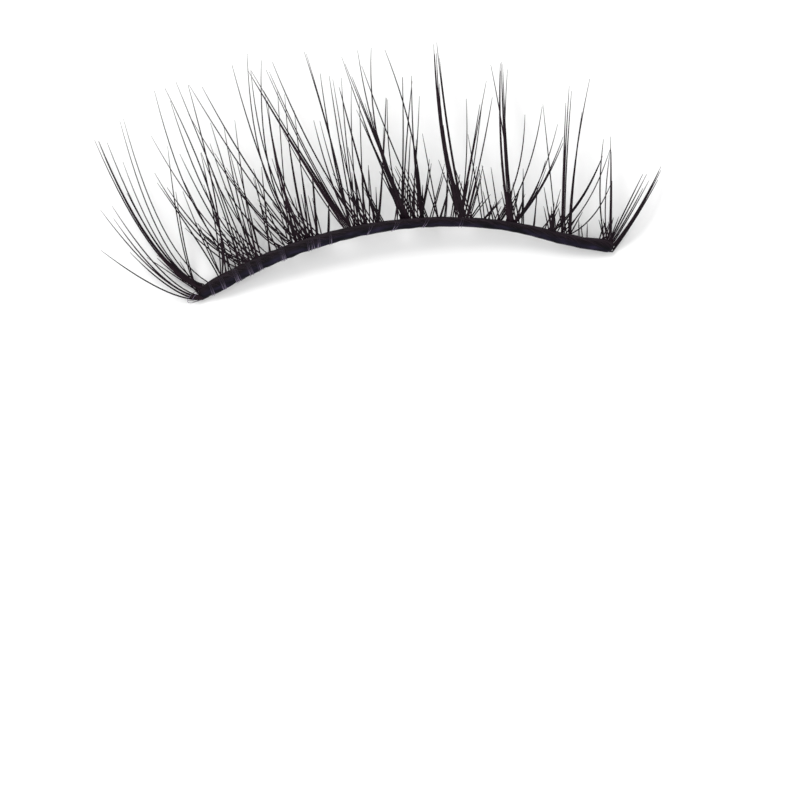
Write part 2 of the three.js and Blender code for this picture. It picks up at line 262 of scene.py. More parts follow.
def make_band(material):
    vertices = []
    coordinates = []
    for ring in range(BAND_RINGS + 1):
        at = band_start + (band_end - band_start) * ring / BAND_RINGS
        length = at * arc_length / MM
        lumps = GLUE_LUMPS * (INNER_LUMPS + (1 - INNER_LUMPS) * (1 - at))
        for side in range(BAND_SIDES):
            x, z = section_point(2 * math.pi * side / BAND_SIDES)
            gluey = max(0.0, min(1.0, (GLUE_BLEND + x) / (2 * GLUE_BLEND)))
            spot = Vector((length * YARN_ALONG, x * YARN_ACROSS + length * YARN_SLANT, z * YARN_ACROSS))
            yarn = noise.noise(spot) * YARN_RELIEF * (1 - GLUE_FILLING * gluey)
            lump = noise.noise(Vector((length * LUMPS_ALONG, x, z + LUMPS_SHIFT))) * lumps
            swell = end_rounding(ring) * (1 + 2 * (yarn + lump) / BAND_HEIGHT)
            across = band_height(at) / 2 * (1 - x * swell)
            up = BAND_THICKNESS / 2 * (1 + z * swell)
            vertices.append(band_point(at, across, max(up, 0)))
            coordinates.append((at, (1 - x) / 2))
    faces = []
    for ring in range(BAND_RINGS):
        for side in range(BAND_SIDES):
            a = ring * BAND_SIDES + side
            b = ring * BAND_SIDES + (side + 1) % BAND_SIDES
            faces.append((a, b, b + BAND_SIDES, a + BAND_SIDES))
    faces.append(tuple(reversed(range(BAND_SIDES))))
    faces.append(tuple(BAND_RINGS * BAND_SIDES + side for side in range(BAND_SIDES)))
    piece = mesh_piece("band_cotton", vertices, faces, material)
    layer = piece.data.uv_layers.new(name="band_map")
    for loop in piece.data.loops:
        layer.data[loop.index].uv = coordinates[loop.vertex_index]
    return piece


band = make_band(make_band_material())
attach(band, "root")
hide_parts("band")

# Loose cotton and hair ends: the fibres and the cut roots of the hairs lie slantwise along the
# band's outer face, glued down, and leave it at the lash edge.
FIBRE_COUNT = 330
FIBRE_DIAMETER = 0.05 * MM
FIBRE_TIP = 0.6  # of its diameter
FIBRE_STAND_OFF = 0.012 * MM
FIBRE_WAVER = 0.03 * MM
FIBRE_STEPS = 8
FIBRE_LENGTHS = (0.03, 0.075)  # of the band's length
FIBRE_STARTS = (0.72, 0.86)  # angle round the band's section where a fibre starts, of half a turn
FIBRE_TURNS = (0.1, 0.34)  # how far it turns down the outer face, of half a turn
FIBRE_DARK = (0.002, 0.001, 0.002)
FIBRE_LIGHT = (0.022, 0.013, 0.02)
OUTER_STRETCH = 0.2  # share of the band, at its outer end, where the fibres are shorter
OUTER_SHORTENING = 0.6
LAST_FIBRE_END = 0.004  # how far from the band's inner end the last fibres stop, of its length
STRAND_SIDES = 5
GATHER_TURN = 2.4  # strands draw together as a sine of this angle times the way along them
GATHER_SHARE = 0.35  # share of their spacing that they give up
FAN_RATE = 1.5  # a fan is drawn together by one over this of its length
FAN_FADE = 1.4
STEADY_SHARE = 0.2  # share of the waver and bulge that the first strand of a line takes
STRAND_LIFTS = (-0.2, 1.0)  # least and most of its waver that lifts a strand
STRAND_GIRTHS = (0.8, 1.08)  # of the diameter that is asked for


def make_strand_tree():
    """Sweeps fine tapered strands along lines: several to a line, each with its own length."""
    tree = bpy.data.node_groups.new("tapered_strands", "GeometryNodeTree")
    sockets = (
        ("Geometry", "NodeSocketGeometry", None),
        ("Spacing", "NodeSocketFloat", 0.08 * MM),
        ("Root Diameter", "NodeSocketFloat", 0.1 * MM),
        ("Tip Diameter", "NodeSocketFloat", 0.04 * MM),
        ("Taper", "NodeSocketFloat", 2.0),
        ("Shortest", "NodeSocketFloat", 1.0),
        ("Waver", "NodeSocketFloat", 0.0),
        ("Bulge", "NodeSocketFloat", 0.0),
        ("Sides", "NodeSocketInt", STRAND_SIDES),
        ("Seed", "NodeSocketInt", 1),
        ("Material", "NodeSocketMaterial", None),
    )
    for name, kind, value in sockets:
        socket = tree.interface.new_socket(name, in_out="INPUT", socket_type=kind)
        if value is not None:
            socket.default_value = value
    tree.interface.new_socket("Geometry", in_out="OUTPUT", socket_type="NodeSocketGeometry")
    inputs = tree.nodes.new("NodeGroupInput").outputs

    def link(source, node, key):
        tree.links.new(source, node.inputs[key])

    def attribute(name, kind):
        node = tree.nodes.new("GeometryNodeInputNamedAttribute")
        node.data_type = kind
        node.inputs["Name"].default_value = name
        return node.outputs["Attribute"]

    def maths(operation, *values):
        node = tree.nodes.new("ShaderNodeMath")
        node.operation = operation
        for socket, value in zip(node.inputs, values):
            feed(tree, socket, value)
        return node.outputs[0]

    def per_strand(low, high, seed_shift):
        """A random number that is the same all along a strand. The shift keeps the draws apart."""
        draw = tree.nodes.new("FunctionNodeRandomValue")
        draw.data_type = "FLOAT"
        draw.inputs[2].default_value = low
        draw.inputs[3].default_value = high
        link(maths("ADD", inputs["Seed"], seed_shift), draw, "Seed")
        whole = tree.nodes.new("GeometryNodeFieldOnDomain")
        whole.domain = "CURVE"
        link(draw.outputs[1], whole, "Value")
        return whole.outputs["Value"]

    def store(geometry, name, value, domain="CURVE"):
        """The geometry with one more number kept for each strand or for each of its points."""
        node = tree.nodes.new("GeometryNodeStoreNamedAttribute")
        node.data_type = "FLOAT"
        node.domain = domain
        node.inputs["Name"].default_value = name
        link(geometry, node, "Geometry")
        link(value, node, "Value")
        return node.outputs["Geometry"]

    curves = tree.nodes.new("GeometryNodeMeshToCurve")
    link(inputs["Geometry"], curves, "Mesh")
    copies = tree.nodes.new("GeometryNodeDuplicateElements")
    copies.domain = "SPLINE"
    link(curves.outputs["Curve"], copies, "Geometry")
    link(attribute("strands", "INT"), copies, "Amount")
    centre = maths("MULTIPLY", maths("SUBTRACT", attribute("strands", "INT"), 1.0), 0.5)
    rank = maths("SUBTRACT", copies.outputs["Duplicate Index"], centre)
    ranked = store(copies.outputs["Geometry"], "rank", rank)
    later = maths("MINIMUM", copies.outputs["Duplicate Index"], 1.0)
    ranked = store(ranked, "later", later)
    trim = tree.nodes.new("GeometryNodeTrimCurve")
    trim.mode = "FACTOR"
    link(ranked, trim, "Curve")
    # The first strand of a line keeps its full length, and the others end short of it.
    missing = maths("MULTIPLY", per_strand(0.0, 1.0, 11), maths("SUBTRACT", 1.0, inputs["Shortest"]))
    missing = maths("MULTIPLY", missing, attribute("later", "FLOAT"))
    link(maths("SUBTRACT", 1.0, missing), trim, "End")
    along = tree.nodes.new("GeometryNodeSplineParameter").outputs["Factor"]
    # Strands lie side by side, draw together two thirds of the way up, and part at the tip. Where
    # the line has a fan, their roots are that much further apart.
    gather = maths("MULTIPLY", maths("SINE", maths("MULTIPLY", along, GATHER_TURN)), GATHER_SHARE)
    apart = maths("MULTIPLY", inputs["Spacing"], maths("SUBTRACT", 1.0, gather))
    rooted = maths("MAXIMUM", maths("SUBTRACT", 1.0, maths("MULTIPLY", along, FAN_RATE)), 0.0)
    fan = maths("MULTIPLY", attribute("fan", "FLOAT"), maths("POWER", rooted, FAN_FADE))
    sideways = maths("MULTIPLY", attribute("rank", "FLOAT"), maths("ADD", apart, fan))
    # The first strand of a line keeps close to it, and the others stray.
    loose = maths("MULTIPLY", attribute("later", "FLOAT"), 1 - STEADY_SHARE)
    loose = maths("ADD", loose, STEADY_SHARE)
    drift = maths("MULTIPLY", maths("MULTIPLY", maths("POWER", along, 2.0), inputs["Waver"]), loose)
    sideways = maths("ADD", sideways, maths("MULTIPLY", per_strand(-1.0, 1.0, 23), drift))
    bulge = maths("MULTIPLY", inputs["Bulge"], loose)
    belly = maths("MULTIPLY", maths("SINE", maths("MULTIPLY", along, math.pi)), bulge)
    sideways = maths("ADD", sideways, maths("MULTIPLY", per_strand(-1.0, 1.0, 97), belly))
    offset = tree.nodes.new("ShaderNodeVectorMath")
    offset.operation = "SCALE"
    link(attribute("aside", "FLOAT_VECTOR"), offset, 0)
    link(sideways, offset, "Scale")
    lift = tree.nodes.new("ShaderNodeCombineXYZ")
    link(maths("MULTIPLY", per_strand(*STRAND_LIFTS, 37), drift), lift, "Z")
    moved = tree.nodes.new("ShaderNodeVectorMath")
    link(offset.outputs[0], moved, 0)
    link(lift.outputs[0], moved, 1)
    place = tree.nodes.new("GeometryNodeSetPosition")
    link(trim.outputs["Curve"], place, "Geometry")
    link(moved.outputs[0], place, "Offset")
    toned = store(place.outputs["Geometry"], "tone", per_strand(0.0, 1.0, 53))
    toned = store(toned, "share", along, "POINT")
    thick = maths("MULTIPLY", inputs["Root Diameter"], 0.5)
    thin = maths("MULTIPLY", inputs["Tip Diameter"], 0.5)
    taper = maths("POWER", along, inputs["Taper"])
    radius = maths("ADD", thick, maths("MULTIPLY", maths("SUBTRACT", thin, thick), taper))
    radius = maths("MULTIPLY", radius, per_strand(*STRAND_GIRTHS, 71))
    set_radius = tree.nodes.new("GeometryNodeSetCurveRadius")
    link(toned, set_radius, "Curve")
    link(radius, set_radius, "Radius")
    ring = tree.nodes.new("GeometryNodeCurvePrimitiveCircle")
    link(inputs["Sides"], ring, "Resolution")
    ring.inputs["Radius"].default_value = 1.0
    sweep = tree.nodes.new("GeometryNodeCurveToMesh")
    sweep.inputs["Fill Caps"].default_value = True
    link(set_radius.outputs["Curve"], sweep, "Curve")
    link(ring.outputs["Curve"], sweep, "Profile Curve")
    link(tree.nodes.new("GeometryNodeInputRadius").outputs["Radius"], sweep, "Scale")
    smooth = tree.nodes.new("GeometryNodeSetShadeSmooth")
    link(sweep.outputs["Mesh"], smooth, "Geometry")
    real = tree.nodes.new("GeometryNodeRealizeInstances")
    link(smooth.outputs["Geometry"], real, "Geometry")
    finish = tree.nodes.new("GeometryNodeSetMaterial")
    link(real.outputs["Geometry"], finish, "Geometry")
    link(inputs["Material"], finish, "Material")
    link(finish.outputs["Geometry"], tree.nodes.new("NodeGroupOutput"), "Geometry")
    return tree


strand_tree = make_strand_tree()


def sweep_strands(name, lines, values):
    """Turns (points, aside, strands, fan) lines into one plain mesh of swept strands."""
    vertices = []
    edges = []
    strands = []
    fans = []
    asides = []
    for points, aside, count, fan in lines:
        first = len(vertices)
        vertices += points
        edges += [(first + i, first + i + 1) for i in range(len(points) - 1)]
        strands += [count] * len(points)
        fans += [fan] * len(points)
        asides += [c for _ in points for c in (aside[0], aside[1], 0.0)]
    mesh = bpy.data.meshes.new(name)
    mesh.from_pydata(vertices, edges, [])
    mesh.attributes.new("strands", "INT", "POINT").data.foreach_set("value", strands)
    mesh.attributes.new("fan", "FLOAT", "POINT").data.foreach_set("value", fans)
    mesh.attributes.new("aside", "FLOAT_VECTOR", "POINT").data.foreach_set("vector", asides)
    piece = bpy.data.objects.new(name, mesh)
    bpy.context.scene.collection.objects.link(piece)
    modifier = piece.modifiers.new("strands", "NODES")
    modifier.node_group = strand_tree
    for item in strand_tree.interface.items_tree:
        if item.item_type == "SOCKET" and item.in_out == "INPUT" and item.name in values:
            modifier[item.identifier] = values[item.name]
    evaluated = piece.evaluated_get(bpy.context.evaluated_depsgraph_get())
    swept = bpy.data.meshes.new_from_object(evaluated)
    piece.modifiers.clear()
    piece.data = swept
    swept.name = name
    return piece


def surface_point(at, angle, stand_off):
    """Point that stands off the band's surface, at an angle round its section, and off the table."""
    x, z = section_point(angle)
    across = band_height(at) / 2 * (1 - x) - x * stand_off
    up = BAND_THICKNESS / 2 * (1 + z) + z * stand_off
    return band_point(at, across, max(up, stand_off - band_lift(at)))


def make_tone_group():
    """Gives each strand its own colour, between a dark and a light one."""
    group = bpy.data.node_groups.new("strand_tone", "ShaderNodeTree")
    for name in ("Dark", "Light"):
        group.interface.new_socket(name, in_out="INPUT", socket_type="NodeSocketColor")
    group.interface.new_socket("Color", in_out="OUTPUT", socket_type="NodeSocketColor")
    given = group.nodes.new("NodeGroupInput").outputs
    tone = add_node(group, "ShaderNodeAttribute", {"attribute_name": "tone"})
    mixed = colour_mix(group, tone.outputs["Fac"], given["Dark"], given["Light"])
    group.links.new(mixed, group.nodes.new("NodeGroupOutput").inputs["Color"])
    return group


tone_group = make_tone_group()


def strand_colour(tree, dark, light):
    colours = {"Dark": (*dark, 1), "Light": (*light, 1)}
    return add_node(tree, "ShaderNodeGroup", {"node_tree": tone_group}, **colours).outputs["Color"]


def make_fibre_material():
    material, tree, shader = new_material("black_fibre_ends", (0.012, 0.007, 0.01), 0.5, 0.15)
    tree.links.new(strand_colour(tree, FIBRE_DARK, FIBRE_LIGHT), shader.inputs["Base Color"])
    return material


def make_fibres(material):
    """Fibres that run from the lash edge slantwise down the outer face of the band."""
    draws = random.Random(7)
    lines = []
    for index in range(FIBRE_COUNT):
        at = (index + draws.uniform(0.1, 0.9)) / FIBRE_COUNT
        length = draws.uniform(*FIBRE_LENGTHS) * (1 if at > OUTER_STRETCH else OUTER_SHORTENING)
        start_angle = draws.uniform(*FIBRE_STARTS) * math.pi
        end_angle = start_angle - draws.uniform(*FIBRE_TURNS) * math.pi
        points = []
        for step in range(FIBRE_STEPS + 1):
            s = step / FIBRE_STEPS
            place = min(band_end - LAST_FIBRE_END, at + length * s)
            angle = start_angle + (end_angle - start_angle) * s
            points.append(surface_point(place, angle, FIBRE_STAND_OFF))
        lines.append((points, (0.0, 1.0), 1, 0.0))
    values = {
        "Root Diameter": FIBRE_DIAMETER,
        "Tip Diameter": FIBRE_DIAMETER * FIBRE_TIP,
        "Waver": FIBRE_WAVER,
        "Seed": 5,
        "Material": material,
    }
    return sweep_strands("band_fibres", lines, values)


fibres = make_fibres(make_fibre_material())
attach(fibres, "root")

# Fine clear thread wound round the band in short groups of turns, which tie the tufts to it. It
# is a lilac-tinted black on the band's face with a painted lilac grey highlight round the glue edge,
# and three loose loops of it stand off the outer end.
THREAD_DIAMETER = 0.036 * MM
THREAD_STAND_OFF = 0.35  # of its diameter, where it is drawn tight
TURN_SHIFT = 0.6  # how far a turn may stray along the band, of its diameter
TURN_SLANTS = (0.5, 1.6)  # of its group's slant
TURN_SLACKS = (0.2, 2.2)  # how far a turn hangs off the glue edge, of its diameter
TURN_STEPS = 28
LOOP_STEPS = 32
FACE_DARK = (0.006, 0.004, 0.009)
FACE_LIGHT = (0.045, 0.032, 0.06)
EDGE_HIGHLIGHT_DARK = (0.04, 0.03, 0.06)
EDGE_HIGHLIGHT_LIGHT = (0.32, 0.27, 0.38)
EDGE_HIGHLIGHT_REACH = 0.24  # share of a turn, from the glue edge, over which a highlight is painted on the thread
EDGE_HIGHLIGHT_WHOLE = 0.08  # share over which that painted highlight is full
# Columns: at (middle of the group), turns, pitch and slant along the band (both of THREAD_DIAMETER).
THREAD_GROUPS = [
    (0.022, 3, 2.2, 5),
    (0.052, 5, 1.7, 4),
    (0.090, 8, 1.5, 3),
    (0.124, 6, 1.6, 2),
    (0.150, 5, 2.4, 3),
    (0.209, 8, 1.6, 2),
    (0.279, 5, 3.2, 5),
    (0.300, 3, 2.0, 9),
    (0.329, 4, 1.8, 7),
    (0.424, 2, 5.0, 16),
    (0.486, 3, 4.0, 20),
    (0.556, 2, 5.0, 14),
    (0.640, 2, 4.0, 12),
]
# Columns: middle past the band's end and above its glue edge, then the loop's two radii, all in
# BAND_HEIGHT.
END_LOOPS = [(0.2, 0.7, 1.3, 0.5), (0.45, 0.85, 0.9, 0.35), (-0.15, 0.5, 1.1, 0.42)]


def make_thread_material():
    """Clear thread: nearly as black as the band on its face, with a highlight painted round the glue
    edge.
    """
    material, tree, shader = new_material("clear_thread", (0.03, 0.022, 0.04), 0.3, 0.3)
    face = strand_colour(tree, FACE_DARK, FACE_LIGHT)
    # The colour round the glue edge is a painted highlight, mixed in towards the edge by the share of
    # each turn.
    edge = strand_colour(tree, EDGE_HIGHLIGHT_DARK, EDGE_HIGHLIGHT_LIGHT)
    share = add_node(tree, "ShaderNodeAttribute", {"attribute_name": "share"})
    edge_highlight_share = map_range(tree, share.outputs["Fac"], EDGE_HIGHLIGHT_REACH, EDGE_HIGHLIGHT_WHOLE)
    tree.links.new(colour_mix(tree, edge_highlight_share, face, edge), shader.inputs["Base Color"])
    return material


def make_threads(material):
    draws = random.Random(19)
    lines = []
    for middle, turns, pitch, slant in THREAD_GROUPS:
        for turn in range(turns):
            shift = (turn - (turns - 1) / 2) * pitch + draws.uniform(-TURN_SHIFT, TURN_SHIFT)
            turn_slant = slant * draws.uniform(*TURN_SLANTS)
            slack = draws.uniform(*TURN_SLACKS)
            points = []
            for step in range(TURN_STEPS + 1):
                angle = 2 * math.pi * step / TURN_STEPS
                along = shift - math.cos(angle) * turn_slant / 2
                place = middle + along * THREAD_DIAMETER / arc_length
                hang = slack * max(0.0, math.cos(angle)) ** 4
                points.append(surface_point(place, angle, THREAD_DIAMETER * (THREAD_STAND_OFF + hang)))
            lines.append((points, (0.0, 1.0), 1, 0.0))
    for past, above, long_radius, short_radius in END_LOOPS:
        points = []
        for step in range(LOOP_STEPS + 1):
            angle = 2 * math.pi * step / LOOP_STEPS
            place = band_start - (past + long_radius * math.cos(angle)) * BAND_HEIGHT / arc_length
            across = (above + short_radius * math.sin(angle)) * BAND_HEIGHT
            points.append(band_point(place, across, BAND_THICKNESS * (0.5 + 0.2 * math.cos(angle))))
        lines.append((points, (0.0, 1.0), 1, 0.0))
    values = {
        "Root Diameter": THREAD_DIAMETER,
        "Tip Diameter": THREAD_DIAMETER,
        "Seed": 3,
        "Material": material,
    }
    return sweep_strands("tying_thread", lines, values)


threads = make_threads(make_thread_material())
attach(threads, "root")

# The tufts: thirteen knots of curled black hair, set in turn in three layers so that they cross.
# Each row is a lock that its hairs follow. They leave the band side by side or fanned apart, draw
# together into a spike and part again at the tip, where each hair thins out.
LONGEST_LASH = 15.0 * MM
CURL_RISE = 3.0 * MM
END_CURL = 0.35  # share of that rise at the two ends of the band
HAIR_LAYER = 0.2 * MM
FIRST_LAYER = 0.06 * MM
LAYERS = 3
ROOT_DEPTH = 0.3 * MM  # how far a hair starts inside the band
ROOT_MARGIN = 0.008  # how far from the band's ends it starts, of the band's length
HAIR_ROOT = 0.115 * MM
HAIR_TIP = 0.034 * MM
HAIR_TAPER = 3.8  # 1 for an even taper, more for a hair that thins out near its tip
HAIR_SPACING = 0.085 * MM
HAIR_STEPS = 15
SHORTEST_HAIR = 0.82  # of its lock's length
HAIR_WAVER = 0.12 * MM
HAIR_BULGE = 0.04 * MM
HAIR_DARK = (0.004, 0.002, 0.004)
HAIR_LIGHT = (0.022, 0.01, 0.017)
HAIR_SHADE = (0.004, 0.003, 0.004)
HAIR_SHADING = 0.5  # most of HAIR_SHADE that a spot of a hair takes
HAIR_ROUGHNESS = (0.4, 0.54)
HAIR_GRAIN = 2600.0
# Columns: at, reach (distance at which the curl comes down to the table, of LONGEST_LASH) and turn
# (share of its reach at which a lock turns most).
CURL_SECTIONS = [
    (0.0, 0.97, 0.25),
    (0.3, 1.0, 0.35),
    (0.6, 0.9, 0.45),
    (0.86, 0.77, 0.4),
    (1.0, 0.47, 0.4),
]
# Columns: at (place along the band), lean (degrees towards the inner end), reach (of LONGEST_LASH),
# bow (sideways bulge towards the inner end, of the reach), hairs (strands in the lock), and fan
# (how much further apart than HAIR_SPACING their roots are, of HAIR_SPACING).
TUFTS = {
    "tuft_01_outer_corner": [
        (0.002, -29, 0.91, -0.082, 4, 0.0),
        (0.006, -27, 0.865, -0.085, 1, 0.0),
        (0.006, -26, 0.74, -0.086, 1, 0.0),
        (0.008, -33, 0.60, -0.080, 1, 0.0),
        (0.006, -20, 0.93, -0.078, 1, 0.0),
        (0.022, -21, 0.925, -0.080, 1, 0.0),
        (-0.008, -5, 0.735, -0.034, 1, 0.0),
        (-0.006, -6, 0.50, -0.030, 1, 0.0),
    ],
    "tuft_02_outer_fan": [
        (0.108, -20, 0.98, -0.078, 1, 0.0),
        (0.132, -32, 0.80, -0.058, 1, 0.0),
        (0.120, -39, 0.64, -0.100, 1, 0.0),
        (0.126, -41, 0.55, -0.090, 1, 0.0),
        (0.051, -27, 0.56, 0.014, 1, 0.0),
        (0.057, -18, 0.46, -0.020, 1, 0.0),
        (0.057, -17, 0.28, 0.000, 1, 0.0),
        (0.062, -11, 0.98, 0.062, 1, 0.0),
        (0.142, -21.5, 0.90, -0.068, 1, 0.0),
        (0.131, -16, 0.975, 0.000, 1, 0.0),
        (0.062, -4, 0.97, 0.033, 1, 0.0),
        (0.058, -3, 0.62, 0.020, 1, 0.0),
        (0.070, -6, 0.52, 0.030, 1, 0.0),
        (0.078, -10, 0.45, 0.030, 1, 0.0),
        (0.122, -25, 0.64, -0.040, 1, 0.0),
        (0.104, -12, 0.60, 0.020, 1, 0.0),
        (0.148, -7.5, 0.68, -0.026, 1, 0.0),
        (0.138, -10.5, 0.72, 0.000, 1, 0.0),
        (0.115, -12, 0.54, 0.000, 1, 0.0),
        (0.155, -17, 0.62, -0.030, 1, 0.0),
        (0.152, -3, 0.70, -0.017, 1, 0.0),
        (0.150, -8, 0.58, 0.000, 1, 0.0),
        (0.160, -8, 0.50, 0.000, 1, 0.0),
        (0.085, -22, 0.50, -0.020, 1, 0.0),
    ],
    "tuft_03_second_fan": [
        (0.234, -32, 0.83, -0.050, 1, 0.0),
        (0.238, -34, 0.60, -0.055, 2, 0.8),
        (0.210, -36, 0.42, -0.070, 2, 1.5),
        (0.252, -28.5, 0.96, -0.022, 1, 0.0),
        (0.272, -28, 0.93, -0.037, 1, 0.0),
        (0.258, -15, 0.95, -0.038, 1, 0.0),
        (0.262, -10, 0.98, -0.085, 1, 0.0),
        (0.284, -13.5, 0.895, -0.085, 1, 0.0),
        (0.262, -8, 0.76, -0.030, 1, 0.0),
        (0.277, -10, 0.725, -0.065, 1, 0.0),
        (0.259, -6, 0.93, -0.083, 1, 0.0),
        (0.290, -18, 0.50, -0.050, 1, 0.0),
        (0.270, -16, 0.44, -0.030, 1, 0.0),
        (0.235, 1.5, 0.775, -0.010, 1, 0.0),
        (0.246, -6, 0.62, -0.020, 1, 0.0),
        (0.250, -8, 0.45, 0.000, 1, 0.0),
        (0.277, -3, 0.735, -0.030, 1, 0.0),
        (0.280, -0.5, 0.645, 0.000, 1, 0.0),
        (0.278, -5, 0.50, -0.020, 1, 0.0),
        (0.287, -3, 0.45, 0.000, 1, 0.0),
        (0.299, 2, 0.33, 0.000, 2, 0.5),
        (0.326, 8, 0.16, 0.000, 2, 0.0),
        (0.182, 1, 0.43, 0.000, 1, 0.0),
        (0.175, -28, 0.50, -0.050, 1, 0.0),
        (0.185, -6, 0.40, 0.000, 1, 0.0),
        (0.200, -12, 0.38, -0.020, 1, 0.0),
        (0.220, -16, 0.42, -0.020, 1, 0.0),
    ],
    "tuft_04_long_spike": [
        (0.372, -25.6, 0.94, -0.010, 5, 0.3),
        (0.378, -21.6, 0.90, -0.023, 2, 0.4),
        (0.402, -22, 0.935, -0.034, 1, 0.0),
        (0.364, -26, 0.58, -0.026, 1, 0.0),
        (0.376, -8, 0.915, 0.020, 2, 0.0),
        (0.380, -5, 0.79, -0.022, 1, 0.0),
        (0.388, -3.3, 0.77, -0.005, 1, 0.0),
        (0.394, -3, 0.75, 0.000, 1, 0.0),
        (0.400, -0.7, 0.75, -0.020, 1, 0.0),
        (0.406, 2, 0.70, -0.030, 1, 0.0),
        (0.410, 4.4, 0.62, 0.000, 1, 0.0),
        (0.440, -9, 0.71, -0.005, 2, 0.3),
        (0.380, -13, 0.57, -0.030, 1, 0.0),
        (0.386, -11.5, 0.56, -0.020, 1, 0.0),
        (0.408, -9, 0.42, -0.010, 1, 0.0),
        (0.416, -7, 0.40, 0.000, 1, 0.0),
    ],
    "tuft_05_single": [
        (0.444, 10, 0.63, 0.010, 2, 0.3),
        (0.446, 9, 0.48, 0.012, 1, 0.0),
        (0.442, 5, 0.18, 0.000, 2, 0.8),
        (0.455, -22, 0.22, 0.000, 2, 0.6),
    ],
    "tuft_06_middle_spike": [
        (0.507, -15, 0.88, -0.016, 1, 0.0),
        (0.513, -15.5, 0.845, 0.000, 2, 0.3),
        (0.519, -11, 0.89, -0.045, 1, 0.0),
        (0.515, -6, 0.885, -0.075, 1, 0.0),
        (0.510, -13, 0.62, -0.012, 3, 0.4),
        (0.516, -14, 0.50, -0.025, 2, 1.0),
        (0.500, -16, 0.60, 0.010, 2, 1.0),
        (0.512, -18, 0.42, 0.000, 2, 1.6),
        (0.552, -16, 0.83, -0.014, 1, 0.0),
        (0.546, -6, 0.87, 0.045, 1, 0.0),
        (0.507, -2, 0.61, -0.050, 1, 0.0),
        (0.498, 7, 0.72, 0.010, 2, 0.3),
        (0.502, 10, 0.70, -0.010, 1, 0.0),
        (0.544, 2.5, 0.72, -0.018, 1, 0.0),
        (0.520, 10.5, 0.62, 0.010, 1, 0.0),
        (0.510, 9, 0.42, 0.000, 1, 0.0),
        (0.525, 9, 0.40, 0.000, 1, 0.0),
        (0.548, 0, 0.40, -0.010, 2, 0.6),
        (0.530, -20, 0.30, 0.000, 1, 0.0),
        (0.486, 12, 0.22, 0.000, 2, 1.4),
    ],
    "tuft_07_short_fork": [
        (0.584, -4.5, 0.43, 0.000, 1, 0.0),
        (0.543, 15.5, 0.30, 0.020, 2, 0.6),
        (0.568, 21, 0.28, 0.000, 2, 1.2),
        (0.590, 23, 0.15, 0.000, 2, 0.0),
        (0.560, -14, 0.24, 0.000, 1, 0.0),
        (0.583, -12, 0.18, 0.000, 1, 0.0),
    ],
    "tuft_08_tall_spike": [
        (0.638, -2.3, 0.885, -0.034, 4, 0.6),
        (0.645, -2.5, 0.895, -0.016, 2, 0.3),
        (0.642, -4, 0.72, -0.038, 2, 0.8),
        (0.648, -6, 0.58, -0.040, 2, 1.2),
        (0.600, 8, 0.33, 0.020, 2, 0.4),
        (0.628, -2, 0.30, 0.000, 2, 1.2),
        (0.635, 9.5, 0.60, 0.026, 1, 0.0),
        (0.637, 17, 0.70, 0.000, 1, 0.0),
        (0.632, 17, 0.58, 0.010, 1, 0.0),
        (0.645, 15, 0.60, 0.010, 1, 0.0),
        (0.650, 18.5, 0.62, 0.012, 1, 0.0),
        (0.656, 22, 0.27, 0.010, 2, 0.8),
    ],
    "tuft_09_crossed": [
        (0.686, -3, 0.43, 0.000, 1, 0.0),
        (0.692, 0, 0.25, 0.000, 1, 0.0),
        (0.712, -5, 0.28, 0.000, 1, 0.0),
        (0.726, -2, 0.27, 0.000, 1, 0.0),
        (0.692, 47, 0.14, 0.000, 2, 0.0),
        (0.728, 38, 0.14, 0.000, 2, 0.4),
        (0.660, 40, 0.11, 0.000, 1, 0.0),
        (0.664, 44, 0.15, 0.000, 1, 0.0),
        (0.722, 21, 0.55, 0.070, 1, 0.0),
        (0.732, 26, 0.61, 0.062, 1, 0.0),
    ],
    "tuft_10_inner_spike": [
        (0.752, 3, 0.80, -0.028, 2, 0.4),
        (0.756, 3, 0.81, -0.012, 3, 0.5),
        (0.755, 5, 0.77, -0.030, 1, 0.0),
        (0.757, -1.5, 0.80, 0.020, 1, 0.0),
        (0.750, -1, 0.30, 0.000, 2, 1.0),
        (0.748, 14, 0.20, 0.000, 2, 1.0),
        (0.763, 34, 0.35, 0.060, 3, 0.4),
        (0.763, 30, 0.54, 0.055, 1, 0.0),
        (0.765, 35.5, 0.495, 0.050, 2, 0.0),
        (0.780, 8, 0.22, 0.000, 1, 0.0),
    ],
    "tuft_11_inner_fork": [
        (0.784, 6, 0.28, 0.000, 1, 0.0),
        (0.809, 12, 0.21, 0.010, 2, 0.0),
        (0.862, 0.5, 0.645, 0.000, 1, 0.0),
        (0.850, -3, 0.22, 0.000, 1, 0.0),
        (0.848, 21, 0.21, 0.000, 1, 0.0),
        (0.852, 12, 0.14, 0.000, 2, 0.8),
        (0.830, 40, 0.16, 0.030, 1, 0.0),
        (0.855, 3, 0.12, 0.000, 2, 1.0),
    ],
    "tuft_12_inner_pair": [
        (0.879, 9, 0.74, -0.006, 3, 0.3),
        (0.877, 8.2, 0.655, -0.004, 2, 0.3),
        (0.894, 13.9, 0.79, -0.022, 2, 0.3),
        (0.896, 12, 0.62, -0.015, 2, 0.3),
        (0.856, 40, 0.45, 0.060, 2, 0.3),
        (0.878, 36, 0.48, 0.065, 1, 0.0),
        (0.897, 44, 0.34, 0.095, 1, 0.0),
        (0.917, 6, 0.08, 0.000, 1, 0.0),
        (0.925, 2, 0.06, 0.000, 1, 0.0),
        (0.936, 8, 0.07, 0.000, 1, 0.0),
    ],
    "tuft_13_inner_corner": [
        (0.975, 6, 0.50, -0.040, 1, 0.0),
        (0.980, 9, 0.46, -0.030, 1, 0.0),
        (0.988, 7, 0.52, 0.005, 2, 0.3),
        (0.992, 7, 0.30, 0.000, 1, 0.0),
        (0.990, 32.5, 0.37, 0.000, 1, 0.0),
        (0.992, 34.5, 0.38, 0.006, 1, 0.0),
        (0.995, 36.5, 0.31, 0.010, 1, 0.0),
        (0.998, 36.5, 0.36, 0.012, 1, 0.0),
    ],
}
